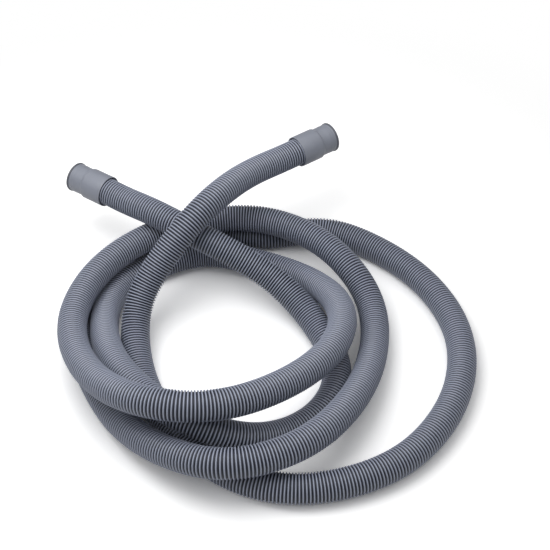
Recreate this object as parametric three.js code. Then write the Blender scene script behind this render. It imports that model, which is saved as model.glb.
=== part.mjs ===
// Washing machine drain hose, lying in a loose coil of about four turns.
// Millimetres, +Z up. The origin is on the floor, under the middle of the coil.
// +X is the side of the wide outer turn, +Y the side of the two free ends.
import * as THREE from "three";
import { NURBSCurve } from "three/addons/curves/NURBSCurve.js";

// Hose, with the depth of its corrugations taken into the wall
const hoseOutside = 25.5;
const hoseWall = 2.75;
const hoseSides = 12;
const hoseSteps = 80;

// End cuff, from the sleeve that grips the hose to the mouth that goes over a spigot
const sleeveLength = 22;
const sleeveWall = 1.6;
const sleeveGap = 0.3;
const sleeveRound = 0.6;
const sleeveLeadIn = 0.7;
const shoulderThickness = 3;
const stepLength = 1.6;
const neckLength = 10.8;
const neckWall = 2.65;
const mouthBore = 21.5;
const mouthLeadIn = 0.8;
const lipHeight = 0.8;
const lipFlare = 3.8;
const lipThickness = 1.8;
const cuffSides = 48;

// The hose is pushed into the sleeve until its end meets the shoulder.
const hoseSeat = sleeveLength - shoulderThickness;

// Route of the hose's centreline, as the control points of one smooth curve.
// Heights go in layers: a run on the floor, then one, two and three runs above it.
const route = [
  // left free end, straight out of its cuff, level over the pile
  [-161, 132, 64], [-152, 126, 64], [-140, 118, 64], [-125, 107, 64], [-100, 90, 67],
  // down across the middle to the floor, and round the inner right bend
  [-61, 63, 64], [-17, 49, 47], [22, 32, 26], [52, -6, 13], [70, -55, 13],
  [54, -101, 13], [16, -127, 13], [-23, -141, 31],
  // over the run below it at the front, and up the left side on the floor
  [-62, -132, 46], [-97, -107, 45], [-131, -58, 36], [-144, 1, 18], [-136, 49, 13],
  // back under the crossing, and round the small right loop as it climbs
  [-103, 74, 13], [-57, 97, 13], [-10, 81, 13], [39, 60, 14], [74, 6, 34],
  [67, -53, 46], [32, -97, 54],
  // top run at the front, then down the left side in the second layer
  [-14, -130, 64], [-53, -141, 70], [-96, -134, 69], [-136, -100, 52], [-162, -51, 41],
  [-167, -7, 40], [-149, 47, 40], [-105, 91, 40], [-53, 112, 39],
  // along the back, and the middle right bend, which touches the floor
  [-1, 115, 39], [50, 87, 40], [83, 49, 33], [101, 15, 19], [99, -36, 18],
  [82, -93, 30], [48, -144, 39], [5, -169, 41], [-39, -176, 42], [-86, -148, 28],
  // left side on the floor, under the second layer
  [-123, -108, 14], [-151, -53, 13], [-172, 0, 13], [-164, 56, 13], [-134, 98, 13],
  [-92, 123, 13], [-40, 120, 13],
  // out to the wide outer turn
  [6, 111, 13], [54, 130, 13], [103, 104, 13], [149, 60, 13], [174, 4, 13],
  [176, -47, 13], [159, -100, 13], [120, -149, 13], [70, -172, 13], [22, -179, 13],
  [-24, -166, 13],
  // under the front runs, and up over the crossing to the right free end
  [-68, -129, 13], [-100, -79, 13], [-113, -26, 18], [-111, 9, 38], [-85, 35, 69],
  [-53, 64, 96], [-20, 111, 92], [12, 138, 87], [26, 148, 87], [40, 158, 87], [47, 163, 87],
];

const hoseMaterial = new THREE.MeshStandardMaterial({ color: 0x666a74, roughness: 0.55, metalness: 0 });
const cuffMaterial = new THREE.MeshStandardMaterial({ color: 0x7d818b, roughness: 0.7, metalness: 0 });

// A cubic curve that starts and ends on its first and last points.
function smoothCurve(points) {
  const degree = 3;
  const spans = points.length - degree;
  const knots = [];
  for (let i = -degree; i <= spans + degree; i++) knots.push(Math.min(Math.max(i, 0), spans));
  const controls = points.map(([x, y, z]) => new THREE.Vector4(x, y, z, 1));
  const curve = new NURBSCurve(degree, knots, controls);
  curve.arcLengthDivisions = 40 * points.length;
  return curve;
}

// A regular polygon whose corners lie on the circle of the given diameter.
function ringPoints(diameter, sides) {
  const points = [];
  for (let i = 0; i < sides; i++) {
    const angle = (2 * Math.PI * i) / sides;
    points.push(new THREE.Vector2(Math.cos(angle), Math.sin(angle)).multiplyScalar(diameter / 2));
  }
  return points;
}

function makeHose(curve) {
  const section = new THREE.Shape(ringPoints(hoseOutside, hoseSides));
  const bore = ringPoints(hoseOutside - 2 * hoseWall, hoseSides);
  section.holes.push(new THREE.Path(bore.reverse()));
  const geometry = new THREE.ExtrudeGeometry(section, { extrudePath: curve, steps: hoseSteps });
  return new THREE.Mesh(geometry, hoseMaterial);
}

// The cuff's wall, turned round its own axis: the hose enters at height 0, and the mouth is at the top.
function cuffProfile() {
  const socket = hoseOutside / 2 + sleeveGap;
  const sleeve = socket + sleeveWall;
  const bore = mouthBore / 2;
  const neck = bore + neckWall;
  const lip = neck + lipHeight;
  const shoulder = hoseSeat + sleeveGap;
  const neckStart = sleeveLength + stepLength;
  const neckEnd = neckStart + neckLength;
  const lipStart = neckEnd + lipFlare;
  const mouth = lipStart + lipThickness;
  const wall = [
    [socket, sleeveLeadIn],
    [socket + sleeveLeadIn, 0],
    [sleeve - sleeveRound, 0],
    [sleeve, sleeveRound],
    [sleeve, sleeveLength],
    [neck, neckStart],
    [neck, neckEnd],
    [lip, lipStart],
    [lip, mouth],
    [bore + mouthLeadIn, mouth],
    [bore, mouth - mouthLeadIn],
    [bore, shoulder],
    [socket, shoulder],
    [socket, sleeveLeadIn],
  ];
  return wall.map(([radius, height]) => new THREE.Vector2(radius, height));
}

// A cuff on one end of the hose, in line with the way the hose leaves it.
function makeCuff(curve, end) {
  const geometry = new THREE.LatheGeometry(cuffProfile(), cuffSides);
  const cuff = new THREE.Mesh(geometry, cuffMaterial);
  const outward = curve.getTangent(end).multiplyScalar(end === 0 ? -1 : 1);
  cuff.quaternion.setFromUnitVectors(new THREE.Vector3(0, 1, 0), outward);
  cuff.position.copy(curve.getPoint(end)).addScaledVector(outward, -hoseSeat);
  return cuff;
}

const centreline = smoothCurve(route);

const hose = makeHose(centreline);
hose.name = "corrugated_hose";

const leftCuff = makeCuff(centreline, 0);
leftCuff.name = "left_end_cuff";

const rightCuff = makeCuff(centreline, 1);
rightCuff.name = "right_end_cuff";

const drainHose = new THREE.Group();
drainHose.add(hose, leftCuff, rightCuff);

export default drainHose;
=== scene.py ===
# A washing machine drain hose lying in a loose coil, with a rubber cuff on each end.
# Metres, +Z up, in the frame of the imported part.
import math
import bmesh
import bpy
from mathutils import Matrix, Vector


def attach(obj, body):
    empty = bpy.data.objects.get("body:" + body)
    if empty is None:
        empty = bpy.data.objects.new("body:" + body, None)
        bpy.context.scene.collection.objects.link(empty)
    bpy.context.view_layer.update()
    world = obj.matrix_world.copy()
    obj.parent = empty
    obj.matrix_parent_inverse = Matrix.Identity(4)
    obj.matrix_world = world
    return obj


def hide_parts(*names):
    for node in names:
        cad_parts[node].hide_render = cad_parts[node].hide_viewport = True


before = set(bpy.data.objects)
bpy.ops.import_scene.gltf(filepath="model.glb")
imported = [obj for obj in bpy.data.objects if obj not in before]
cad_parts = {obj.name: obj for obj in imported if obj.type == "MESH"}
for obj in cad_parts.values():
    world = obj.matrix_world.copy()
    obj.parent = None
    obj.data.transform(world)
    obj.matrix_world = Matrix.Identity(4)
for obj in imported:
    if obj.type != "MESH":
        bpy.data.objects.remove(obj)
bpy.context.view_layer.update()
scene = bpy.context.scene
print("frame loaded")

view = {
    "place": (0.011, -0.697, 0.772),
    "tilt": 45,  # degrees up from straight down
    "focalPixels": 1150,  # in a frame 550 pixels wide
    "framePixels": 550,
    "sensor": 36,  # millimetres
}


def addCamera():
    data = bpy.data.cameras.new("camera")
    data.sensor_width = view["sensor"]
    data.lens = view["focalPixels"] / view["framePixels"] * view["sensor"]
    camera = bpy.data.objects.new("camera", data)
    camera.location = view["place"]
    camera.rotation_euler = (math.radians(view["tilt"]), 0, 0)
    scene.collection.objects.link(camera)
    scene.camera = camera


addCamera()
print("camera placed")

# The hose's centreline, as the control points of one smooth curve.
# Heights go in layers: a run on the floor, then one, two and three runs above it.
route = [
    # left free end, straight out of its cuff, level over the pile
    (-0.161, 0.132, 0.064), (-0.152, 0.126, 0.064), (-0.140, 0.118, 0.064), (-0.125, 0.107, 0.064),
    (-0.100, 0.090, 0.067),
    # down across the middle to the floor, and round the inner right bend
    (-0.061, 0.063, 0.064), (-0.017, 0.049, 0.047), (0.022, 0.032, 0.026), (0.052, -0.006, 0.013),
    (0.070, -0.055, 0.013), (0.054, -0.101, 0.013), (0.016, -0.127, 0.013), (-0.023, -0.141, 0.031),
    # over the run below it at the front, and up the left side on the floor
    (-0.062, -0.132, 0.046), (-0.097, -0.107, 0.045), (-0.131, -0.058, 0.036), (-0.144, 0.001, 0.018),
    (-0.136, 0.049, 0.013),
    # back under the crossing, and round the small right loop as it climbs
    (-0.103, 0.074, 0.013), (-0.057, 0.097, 0.013), (-0.010, 0.081, 0.013), (0.039, 0.060, 0.014),
    (0.074, 0.006, 0.034), (0.067, -0.053, 0.046), (0.032, -0.097, 0.054),
    # top run at the front, then down the left side in the second layer
    (-0.014, -0.130, 0.064), (-0.053, -0.141, 0.070), (-0.096, -0.134, 0.069), (-0.136, -0.100, 0.052),
    (-0.162, -0.051, 0.041), (-0.167, -0.007, 0.040), (-0.149, 0.047, 0.040), (-0.105, 0.091, 0.040),
    (-0.053, 0.112, 0.039),
    # along the back, and the middle right bend, which touches the floor
    (-0.001, 0.115, 0.039), (0.050, 0.087, 0.040), (0.083, 0.049, 0.033), (0.101, 0.015, 0.019),
    (0.099, -0.036, 0.018), (0.082, -0.093, 0.030), (0.048, -0.144, 0.039), (0.005, -0.169, 0.041),
    (-0.039, -0.176, 0.042), (-0.086, -0.148, 0.028),
    # left side on the floor, under the second layer
    (-0.123, -0.108, 0.014), (-0.151, -0.053, 0.013), (-0.172, 0.000, 0.013), (-0.164, 0.056, 0.013),
    (-0.134, 0.098, 0.013), (-0.092, 0.123, 0.013), (-0.040, 0.120, 0.013),
    # out to the wide outer turn
    (0.006, 0.111, 0.013), (0.054, 0.130, 0.013), (0.103, 0.104, 0.013), (0.149, 0.060, 0.013),
    (0.174, 0.004, 0.013), (0.176, -0.047, 0.013), (0.159, -0.100, 0.013), (0.120, -0.149, 0.013),
    (0.070, -0.172, 0.013), (0.022, -0.179, 0.013), (-0.024, -0.166, 0.013),
    # under the front runs, and up over the crossing to the right free end
    (-0.068, -0.129, 0.013), (-0.100, -0.079, 0.013), (-0.113, -0.026, 0.018), (-0.111, 0.009, 0.038),
    (-0.085, 0.035, 0.069), (-0.053, 0.064, 0.096), (-0.020, 0.111, 0.092), (0.012, 0.138, 0.087),
    (0.026, 0.148, 0.087), (0.040, 0.158, 0.087), (0.047, 0.163, 0.087),
]

hose = {
    "length": 3.45,  # its real length without the cuffs, which the route above follows
    "outside": 0.0255,
    "bore": 0.020,
    "pitch": 0.0027,  # from one ridge to the next
    "grooveDepth": 0.0014,
    "crestEnd": 0.26,  # as shares of the pitch
    "grooveStart": 0.45,
    "grooveEnd": 0.81,
    "sides": 18,
    "liningSteps": 230,
    "guideSteps": 24,  # for each control point
    "ridgeWeld": 0.01,  # how far apart corners may lie to be merged, as shares of the pitch
    "endWeld": 0.25,
    "sharpCorner": 80,  # degrees; only the rims of its two ends are this sharp
}


def addGuide():
    data = bpy.data.curves.new("hoseGuide", "CURVE")
    data.dimensions = "3D"
    data.twist_mode = "MINIMUM"
    data.resolution_u = hose["guideSteps"]
    line = data.splines.new("NURBS")
    line.points.add(len(route) - 1)
    for point, place in zip(line.points, route):
        point.co = (*place, 1)
    line.order_u = 4
    line.use_endpoint_u = True
    guide = bpy.data.objects.new("hoseGuide", data)
    scene.collection.objects.link(guide)
    return guide


def finishedMesh(piece, name):
    tree = bpy.context.evaluated_depsgraph_get()
    mesh = bpy.data.meshes.new_from_object(
        piece.evaluated_get(tree), preserve_all_data_layers=True, depsgraph=tree
    )
    mesh.name = name
    return mesh


def meshFrom(body, name):
    mesh = bpy.data.meshes.new(name)
    body.to_mesh(mesh)
    body.free()
    return mesh


def addPiece(name, mesh):
    piece = bpy.data.objects.new(name, mesh)
    scene.collection.objects.link(piece)
    return piece


# A profile of (along, radius) points, turned once round the X axis.
def turnedShell(profile, steps):
    shell = bmesh.new()
    corners = [shell.verts.new((along, 0, radius)) for along, radius in profile]
    edges = [shell.edges.new(pair) for pair in zip(corners, corners[1:])]
    bmesh.ops.spin(
        shell, geom=corners + edges, cent=(0, 0, 0), axis=(1, 0, 0), angle=2 * math.pi,
        steps=steps, use_merge=True,
    )
    return shell


# Straight corrugations: one ridge and its groove, repeated over the whole length.
def straightRidges(count, pitch):
    crest = hose["outside"] / 2
    groove = crest - hose["grooveDepth"]
    ridge = turnedShell(
        [
            (0, crest),
            (hose["crestEnd"] * pitch, crest),
            (hose["grooveStart"] * pitch, groove),
            (hose["grooveEnd"] * pitch, groove),
            (pitch, crest),
        ],
        hose["sides"],
    )
    piece = addPiece("ridge", meshFrom(ridge, "ridge"))
    repeat = piece.modifiers.new("repeat", "ARRAY")
    repeat.fit_type = "FIXED_COUNT"
    repeat.count = count
    repeat.use_relative_offset = False
    repeat.use_constant_offset = True
    repeat.constant_offset_displace = (pitch, 0, 0)
    repeat.use_merge_vertices = True
    repeat.merge_threshold = hose["ridgeWeld"] * pitch
    straight = finishedMesh(piece, "straightRidges")
    bpy.data.objects.remove(piece)
    return straight


# The smooth inside of the hose, as one long straight tube.
def straightLining(length):
    radius = hose["bore"] / 2
    step = length / hose["liningSteps"]
    lining = turnedShell([(i * step, radius) for i in range(hose["liningSteps"] + 1)], hose["sides"])
    return meshFrom(lining, "lining")


# The ridges and the lining, joined at each end by a flat ring.
def straightHose(count, pitch):
    body = bmesh.new()
    body.from_mesh(straightRidges(count, pitch))
    outerRims = [e for e in body.edges if e.is_boundary]
    ends = bmesh.ops.extrude_edge_only(body, edges=outerRims)["geom"]
    innerRims = [part for part in ends if isinstance(part, bmesh.types.BMVert)]
    inwards = hose["bore"] / hose["outside"]
    bmesh.ops.scale(body, vec=(1, inwards, inwards), verts=innerRims)
    body.from_mesh(straightLining(count * pitch))
    joins = [v for v in body.verts if v.is_boundary]
    bmesh.ops.remove_doubles(body, verts=joins, dist=hose["endWeld"] * pitch)
    for edge in body.edges:
        if edge.calc_face_angle(0) > math.radians(hose["sharpCorner"]):
            edge.smooth = False
    bmesh.ops.recalc_face_normals(body, faces=body.faces)
    crest = hose["outside"] / 2
    groove = crest - hose["grooveDepth"]
    ridge = body.verts.layers.float.new("ridge")  # 1 on a crest, 0 in a groove and on the lining; it masks the painted shade
    for vert in body.verts:
        radius = math.hypot(vert.co.y, vert.co.z)
        vert[ridge] = max(0, (radius - groove) / (crest - groove))
    for face in body.faces:
        face.smooth = True
    return meshFrom(body, "straightHose")


# The straight hose, bent along the guide; its ridges are spread evenly over the guide's length.
def addHose():
    guide = addGuide()
    centres = [v.co.copy() for v in finishedMesh(guide, "centreline").vertices]
    length = sum((b - a).length for a, b in zip(centres, centres[1:]))
    count = round(length / hose["pitch"])
    straight = addPiece("straightHose", straightHose(count, length / count))
    bend = straight.modifiers.new("bend", "CURVE")
    bend.object = guide
    bend.deform_axis = "POS_X"
    piece = addPiece("corrugatedHose", finishedMesh(straight, "corrugatedHose"))
    bpy.data.objects.remove(straight)
    bpy.data.objects.remove(guide)
    print("hose:", count, "ridges along", round(length, 4), "m,", len(piece.data.polygons), "faces")
    return piece, centres


hosePiece, hoseCentres = addHose()

# Each cuff's wall, from the rim that the hose enters to the lip of the mouth.
cuff = {
    "sleeveLength": 0.022,
    "sleeveWall": 0.0016,
    "sleeveGap": 0.0003,
    "sleeveLeadIn": 0.001,
    "shoulder": 0.003,
    "step": 0.0016,
    "neckLength": 0.014,
    "neckWall": 0.00265,
    "ringPlaces": (0.0064, 0.0038),  # two low rings round the neck, measured back from the lip
    "ringWidth": 0.002,
    "ringFlank": 0.4,  # each sloping side, as a share of the ring's width
    "ringHeight": 0.0002,
    "bore": 0.0215,
    "leadIn": 0.0008,
    "lipHeight": 0.0008,
    "lipFlare": 0.0006,
    "lipThickness": 0.0018,
    "rimStart": 0.0001,  # where the dark rim begins, past the end of the neck
    "sharpCorner": 15,  # degrees; sharper corners are rounded
    "rounding": 0.00045,
    "lipRounding": 0.0008,
    "roundingSteps": 3,
    "sides": 72,
    "weld": 1e-6,
}


def cuffProfile():
    socket = hose["outside"] / 2 + cuff["sleeveGap"]
    sleeve = socket + cuff["sleeveWall"]
    bore = cuff["bore"] / 2
    neck = bore + cuff["neckWall"]
    lip = neck + cuff["lipHeight"]
    shoulder = cuff["sleeveLength"] - cuff["shoulder"] + cuff["sleeveGap"]
    neckStart = cuff["sleeveLength"] + cuff["step"]
    neckEnd = neckStart + cuff["neckLength"]
    lipStart = neckEnd + cuff["lipFlare"]
    mouth = lipStart + cuff["lipThickness"]
    flank = cuff["ringWidth"] * cuff["ringFlank"]
    rings = []
    for back in cuff["ringPlaces"]:
        start = neckEnd - back
        stop = start + cuff["ringWidth"]
        crest = neck + cuff["ringHeight"]
        rings += [(start, neck), (start + flank, crest), (stop - flank, crest), (stop, neck)]
    return [
        (cuff["sleeveLeadIn"], socket),
        (0, socket + cuff["sleeveLeadIn"]),
        (0, sleeve),
        (cuff["sleeveLength"], sleeve),
        (neckStart, neck),
        *rings,
        (neckEnd, neck),
        (lipStart, lip),
        (mouth, lip),
        (mouth, bore + cuff["leadIn"]),
        (mouth - cuff["leadIn"], bore),
        (shoulder, bore),
        (shoulder, socket),
        (cuff["sleeveLeadIn"], socket),
    ]


# One cuff, pushed over the end of the hose and turned to point straight out of it.
def addCuff(name, end, before):
    outward = (Vector(end) - Vector(before)).normalized()
    body = turnedShell(cuffProfile(), cuff["sides"])
    bmesh.ops.remove_doubles(body, verts=body.verts, dist=cuff["weld"])
    bmesh.ops.recalc_face_normals(body, faces=body.faces)
    mouth = max(v.co.x for v in body.verts)
    outside = hose["outside"] / 2  # the mouth's outer wall lies beyond this radius, its bore within it
    corners = [e for e in body.edges if e.calc_face_angle(0) > math.radians(cuff["sharpCorner"])]
    lip = [
        e for e in corners
        if e.verts[0].co.x > mouth - cuff["weld"] and e.verts[0].co.yz.length > outside
    ]
    others = [e for e in corners if e not in lip]
    for edges, offset in ((lip, cuff["lipRounding"]), (others, cuff["rounding"])):
        bmesh.ops.bevel(
            body, geom=edges, affect="EDGES", offset=offset, segments=cuff["roundingSteps"],
            profile=0.5, material=-1, clamp_overlap=True,
        )
    rim = body.verts.layers.float.new("rim")
    rimStart = mouth - cuff["lipThickness"] - cuff["lipFlare"] + cuff["rimStart"]
    for vert in body.verts:
        vert[rim] = 1 if vert.co.x > rimStart and vert.co.yz.length > outside else 0
    seat = cuff["sleeveLength"] - cuff["shoulder"]
    turn = outward.to_track_quat("X", "Z").to_matrix().to_4x4()
    place = Matrix.Translation(Vector(end) - seat * outward) @ turn
    bmesh.ops.transform(body, matrix=place, verts=body.verts)
    for face in body.faces:
        face.smooth = True
    return addPiece(name, meshFrom(body, name))


leftCuff = addCuff("leftEndCuff", route[0], route[1])
rightCuff = addCuff("rightEndCuff", route[-1], route[-2])
print("cuffs made")


def addNode(tree, kind, **settings):
    node = tree.nodes.new(kind)
    for name, value in settings.items():
        setattr(node, name, value)
    return node


mouldedFinish = {
    "cloudDetail": 3,
    "grainDetail": 2,
    "scuffDetail": 5,
    "scuffRoughness": 0.65,
    "scuffPatches": (0.55, 0.75),  # the noise levels at which a scuff begins and is full
    "scuffColour": (0.45, 0.46, 0.48, 1),
    "scuffRoughening": 0.2,
}


# Soft clouds of tone, fine grain and pale scuffs, for the hose and the cuffs.
def mouldedFinishGroup():
    tree = bpy.data.node_groups.new("mouldedFinish", "ShaderNodeTree")
    sockets = {
        "Color": ("NodeSocketColor", (0.2, 0.2, 0.2, 1)),
        "Roughness": ("NodeSocketFloat", 0.5),
        "Cloud Scale": ("NodeSocketFloat", 12),
        "Cloud Strength": ("NodeSocketFloat", 0.1),
        "Grain Scale": ("NodeSocketFloat", 900),
        "Scuff Scale": ("NodeSocketFloat", 60),
        "Scuff Strength": ("NodeSocketFloat", 0.2),
    }
    for name, (kind, value) in sockets.items():
        socket = tree.interface.new_socket(name, in_out="INPUT", socket_type=kind)
        socket.default_value = value
    tree.interface.new_socket("Color", in_out="OUTPUT", socket_type="NodeSocketColor")
    tree.interface.new_socket("Roughness", in_out="OUTPUT", socket_type="NodeSocketFloat")
    tree.interface.new_socket("Height", in_out="OUTPUT", socket_type="NodeSocketFloat")
    link = tree.links.new
    given = addNode(tree, "NodeGroupInput")
    made = addNode(tree, "NodeGroupOutput")
    place = addNode(tree, "ShaderNodeTexCoord")

    cloud = addNode(tree, "ShaderNodeTexNoise")
    cloud.inputs["Detail"].default_value = mouldedFinish["cloudDetail"]
    link(place.outputs["Object"], cloud.inputs["Vector"])
    link(given.outputs["Cloud Scale"], cloud.inputs["Scale"])
    centred = addNode(tree, "ShaderNodeMath", operation="SUBTRACT")
    centred.inputs[1].default_value = 0.5  # the middle of the noise
    link(cloud.outputs["Fac"], centred.inputs[0])
    tone = addNode(tree, "ShaderNodeMath", operation="MULTIPLY_ADD")
    tone.inputs[2].default_value = 1
    link(centred.outputs[0], tone.inputs[0])
    link(given.outputs["Cloud Strength"], tone.inputs[1])
    toned = addNode(tree, "ShaderNodeVectorMath", operation="SCALE")
    link(given.outputs["Color"], toned.inputs[0])
    link(tone.outputs[0], toned.inputs["Scale"])

    grain = addNode(tree, "ShaderNodeTexNoise")
    grain.inputs["Detail"].default_value = mouldedFinish["grainDetail"]
    link(place.outputs["Object"], grain.inputs["Vector"])
    link(given.outputs["Grain Scale"], grain.inputs["Scale"])

    scuff = addNode(tree, "ShaderNodeTexNoise")
    scuff.inputs["Detail"].default_value = mouldedFinish["scuffDetail"]
    scuff.inputs["Roughness"].default_value = mouldedFinish["scuffRoughness"]
    link(place.outputs["Object"], scuff.inputs["Vector"])
    link(given.outputs["Scuff Scale"], scuff.inputs["Scale"])
    patches = addNode(tree, "ShaderNodeMapRange")
    patches.inputs["From Min"].default_value = mouldedFinish["scuffPatches"][0]
    patches.inputs["From Max"].default_value = mouldedFinish["scuffPatches"][1]
    link(scuff.outputs["Fac"], patches.inputs["Value"])
    rubbed = addNode(tree, "ShaderNodeMath", operation="MULTIPLY")
    link(patches.outputs["Result"], rubbed.inputs[0])
    link(given.outputs["Scuff Strength"], rubbed.inputs[1])
    pale = addNode(tree, "ShaderNodeMix", data_type="RGBA")
    pale.inputs["B"].default_value = mouldedFinish["scuffColour"]
    link(rubbed.outputs[0], pale.inputs["Factor"])
    link(toned.outputs["Vector"], pale.inputs["A"])
    rough = addNode(tree, "ShaderNodeMath", operation="MULTIPLY_ADD")
    rough.inputs[1].default_value = mouldedFinish["scuffRoughening"]
    link(rubbed.outputs[0], rough.inputs[0])
    link(given.outputs["Roughness"], rough.inputs[2])

    link(pale.outputs["Result"], made.inputs["Color"])
    link(rough.outputs[0], made.inputs["Roughness"])
    link(grain.outputs["Fac"], made.inputs["Height"])
    return tree


finishGroup = mouldedFinishGroup()


def addFinish(tree, values):
    finish = addNode(tree, "ShaderNodeGroup", node_tree=finishGroup)
    for name, value in values.items():
        finish.inputs[name].default_value = value
    return finish


def newMaterial(name):
    material = bpy.data.materials.new(name)
    material.use_nodes = True
    tree = material.node_tree
    return material, tree, tree.nodes["Principled BSDF"]


def addBump(tree, shader, height, strength, distance):
    bump = addNode(tree, "ShaderNodeBump")
    bump.inputs["Strength"].default_value = strength
    bump.inputs["Distance"].default_value = distance
    tree.links.new(height, bump.inputs["Height"])
    tree.links.new(bump.outputs["Normal"], shader.inputs["Normal"])


hosePlastic = {
    "finish": {
        "Color": (0.34, 0.37, 0.465, 1),
        "Roughness": 0.5,
        "Cloud Scale": 9,
        "Cloud Strength": 0.16,
        "Grain Scale": 1400,
        "Scuff Scale": 70,
        "Scuff Strength": 0.1,
    },
    "paintedGrooveShade": (0.05, 0.055, 0.07, 1),  # painted shade: what the bottom of a groove and the lining keep of the colour
    "paintedShadeFade": 1.6,  # higher keeps the light tone closer to the crests and spreads the painted shade further up the groove walls
    "specular": 0.5,
    "bump": (0.12, 0.0002),  # strength, and the grain's height
}


def hoseMaterial():
    material, tree, shader = newMaterial("hosePlastic")
    finish = addFinish(tree, hosePlastic["finish"])
    # The ridge attribute darkens the grooves and the lining: painted shade for the deep grooves and
    # the bore.
    ridge = addNode(tree, "ShaderNodeAttribute", attribute_name="ridge")
    steep = addNode(tree, "ShaderNodeMath", operation="POWER")
    steep.inputs[1].default_value = hosePlastic["paintedShadeFade"]
    tree.links.new(ridge.outputs["Fac"], steep.inputs[0])
    shade = addNode(tree, "ShaderNodeMix", data_type="RGBA")
    shade.inputs["A"].default_value = hosePlastic["paintedGrooveShade"]
    shade.inputs["B"].default_value = (1, 1, 1, 1)
    tree.links.new(steep.outputs[0], shade.inputs["Factor"])
    colour = addNode(tree, "ShaderNodeMix", data_type="RGBA", blend_type="MULTIPLY")
    colour.inputs["Factor"].default_value = 1
    tree.links.new(finish.outputs["Color"], colour.inputs["A"])
    tree.links.new(shade.outputs["Result"], colour.inputs["B"])
    tree.links.new(colour.outputs["Result"], shader.inputs["Base Color"])
    tree.links.new(finish.outputs["Roughness"], shader.inputs["Roughness"])
    shader.inputs["Specular IOR Level"].default_value = hosePlastic["specular"]
    addBump(tree, shader, finish.outputs["Height"], *hosePlastic["bump"])
    return material


cuffRubber = {
    "finish": {
        "Color": (0.238, 0.254, 0.302, 1),
        "Roughness": 0.38,
        "Cloud Scale": 38,
        "Cloud Strength": 0.24,
        "Grain Scale": 1800,
        "Scuff Scale": 110,
        "Scuff Strength": 0.08,
    },
    "rimShade": (0.42, 0.42, 0.43, 1),  # what the rim of the mouth keeps of the colour
    "specular": 0.6,
    "bump": (0.1, 0.0002),  # strength, and the grain's height
}


def cuffMaterial():
    material, tree, shader = newMaterial("cuffRubber")
    finish = addFinish(tree, cuffRubber["finish"])
    rim = addNode(tree, "ShaderNodeAttribute", attribute_name="rim")
    colour = addNode(tree, "ShaderNodeMix", data_type="RGBA", blend_type="MULTIPLY")
    colour.inputs["B"].default_value = cuffRubber["rimShade"]
    tree.links.new(rim.outputs["Fac"], colour.inputs["Factor"])
    tree.links.new(finish.outputs["Color"], colour.inputs["A"])
    tree.links.new(colour.outputs["Result"], shader.inputs["Base Color"])
    tree.links.new(finish.outputs["Roughness"], shader.inputs["Roughness"])
    shader.inputs["Specular IOR Level"].default_value = cuffRubber["specular"]
    addBump(tree, shader, finish.outputs["Height"], *cuffRubber["bump"])
    return material


hosePiece.data.materials.append(hoseMaterial())
cuffFinish = cuffMaterial()
leftCuff.data.materials.append(cuffFinish)
rightCuff.data.materials.append(cuffFinish)
print("materials made")

for piece, node, slot in (
    (hosePiece, "corrugated_hose", "hose_plastic"),
    (leftCuff, "left_end_cuff", "cuff_rubber"),
    (rightCuff, "right_end_cuff", "cuff_rubber"),
):
    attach(piece, "root")
    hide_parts(node)

studio = {
    "floorSize": 12,
    "floorColour": (0.8, 0.8, 0.8, 1),
    "floorSeen": (1.34, 1.34, 1.34, 1),  # in the picture, so that the open floor is pure white
    "shadeReach": (0.3, 0.55),  # from the middle; beyond this the floor is plain white in the picture
    "lampAim": (0, 0, 0.03),
    "lamps": {  # place, width, power
        "softbox": ((-0.12, 0.0, 0.65), 1.6, 4.9),
        "keyLight": ((-0.18, -0.05, 0.65), 0.45, 1.7),
    },
    "skyColour": (1, 1, 1, 1),
    "skyStrength": 0.25,
}


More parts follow.
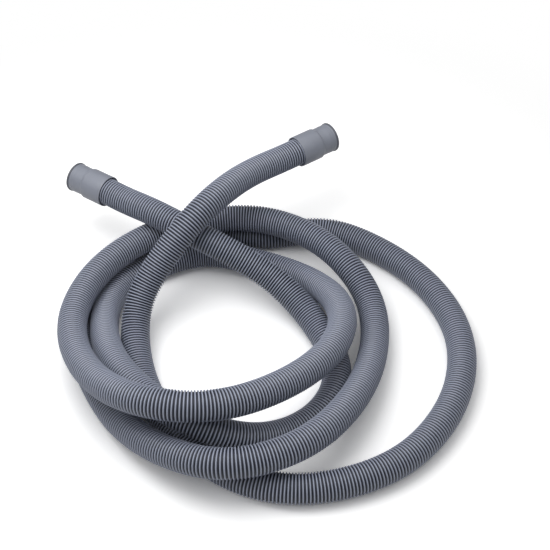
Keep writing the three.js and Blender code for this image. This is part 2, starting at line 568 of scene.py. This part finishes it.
def addFloor():
    body = bmesh.new()
    bmesh.ops.create_grid(body, x_segments=1, y_segments=1, size=studio["floorSize"] / 2)
    floor = addPiece("floor", meshFrom(body, "floor"))
    material, tree, shader = newMaterial("floorWhite")
    tree.nodes.remove(shader)
    lit = addNode(tree, "ShaderNodeBsdfDiffuse")
    lit.inputs["Color"].default_value = studio["floorColour"]
    seen = addNode(tree, "ShaderNodeBsdfDiffuse")
    seen.inputs["Color"].default_value = studio["floorSeen"]
    plain = addNode(tree, "ShaderNodeEmission")
    place = addNode(tree, "ShaderNodeTexCoord")
    away = addNode(tree, "ShaderNodeVectorMath", operation="LENGTH")
    far = addNode(tree, "ShaderNodeMapRange", interpolation_type="SMOOTHSTEP")
    far.inputs["From Min"].default_value = studio["shadeReach"][0]
    far.inputs["From Max"].default_value = studio["shadeReach"][1]
    pictured = addNode(tree, "ShaderNodeMixShader")
    tree.links.new(place.outputs["Object"], away.inputs[0])
    tree.links.new(away.outputs["Value"], far.inputs["Value"])
    tree.links.new(far.outputs["Result"], pictured.inputs["Fac"])
    tree.links.new(seen.outputs["BSDF"], pictured.inputs[1])
    tree.links.new(plain.outputs["Emission"], pictured.inputs[2])
    path = addNode(tree, "ShaderNodeLightPath")
    either = addNode(tree, "ShaderNodeMixShader")
    tree.links.new(path.outputs["Is Camera Ray"], either.inputs["Fac"])
    tree.links.new(lit.outputs["BSDF"], either.inputs[1])
    tree.links.new(pictured.outputs["Shader"], either.inputs[2])
    tree.links.new(either.outputs["Shader"], tree.nodes["Material Output"].inputs["Surface"])
    floor.data.materials.append(material)


def addLamps():
    for name, (place, width, power) in studio["lamps"].items():
        data = bpy.data.lights.new(name, "AREA")
        data.shape = "DISK"
        data.size = width
        data.energy = power
        lamp = bpy.data.objects.new(name, data)
        lamp.location = place
        aim = Vector(studio["lampAim"]) - lamp.location
        lamp.rotation_euler = aim.to_track_quat("-Z", "Y").to_euler()
        scene.collection.objects.link(lamp)


def addSky():
    sky = bpy.data.worlds.new("studio")
    sky.use_nodes = True
    tree = sky.node_tree
    plain = tree.nodes["Background"]
    plain.inputs["Color"].default_value = studio["skyColour"]
    plain.inputs["Strength"].default_value = studio["skyStrength"]
    seen = addNode(tree, "ShaderNodeBackground")
    seen.inputs["Color"].default_value = studio["skyColour"]
    path = addNode(tree, "ShaderNodeLightPath")
    either = addNode(tree, "ShaderNodeMixShader")
    tree.links.new(path.outputs["Is Camera Ray"], either.inputs["Fac"])
    tree.links.new(plain.outputs["Background"], either.inputs[1])
    tree.links.new(seen.outputs["Background"], either.inputs[2])
    tree.links.new(either.outputs["Shader"], tree.nodes["World Output"].inputs["Surface"])
    scene.world = sky


addFloor()
addLamps()
addSky()
scene.view_settings.view_transform = "Standard"
print("studio lit")
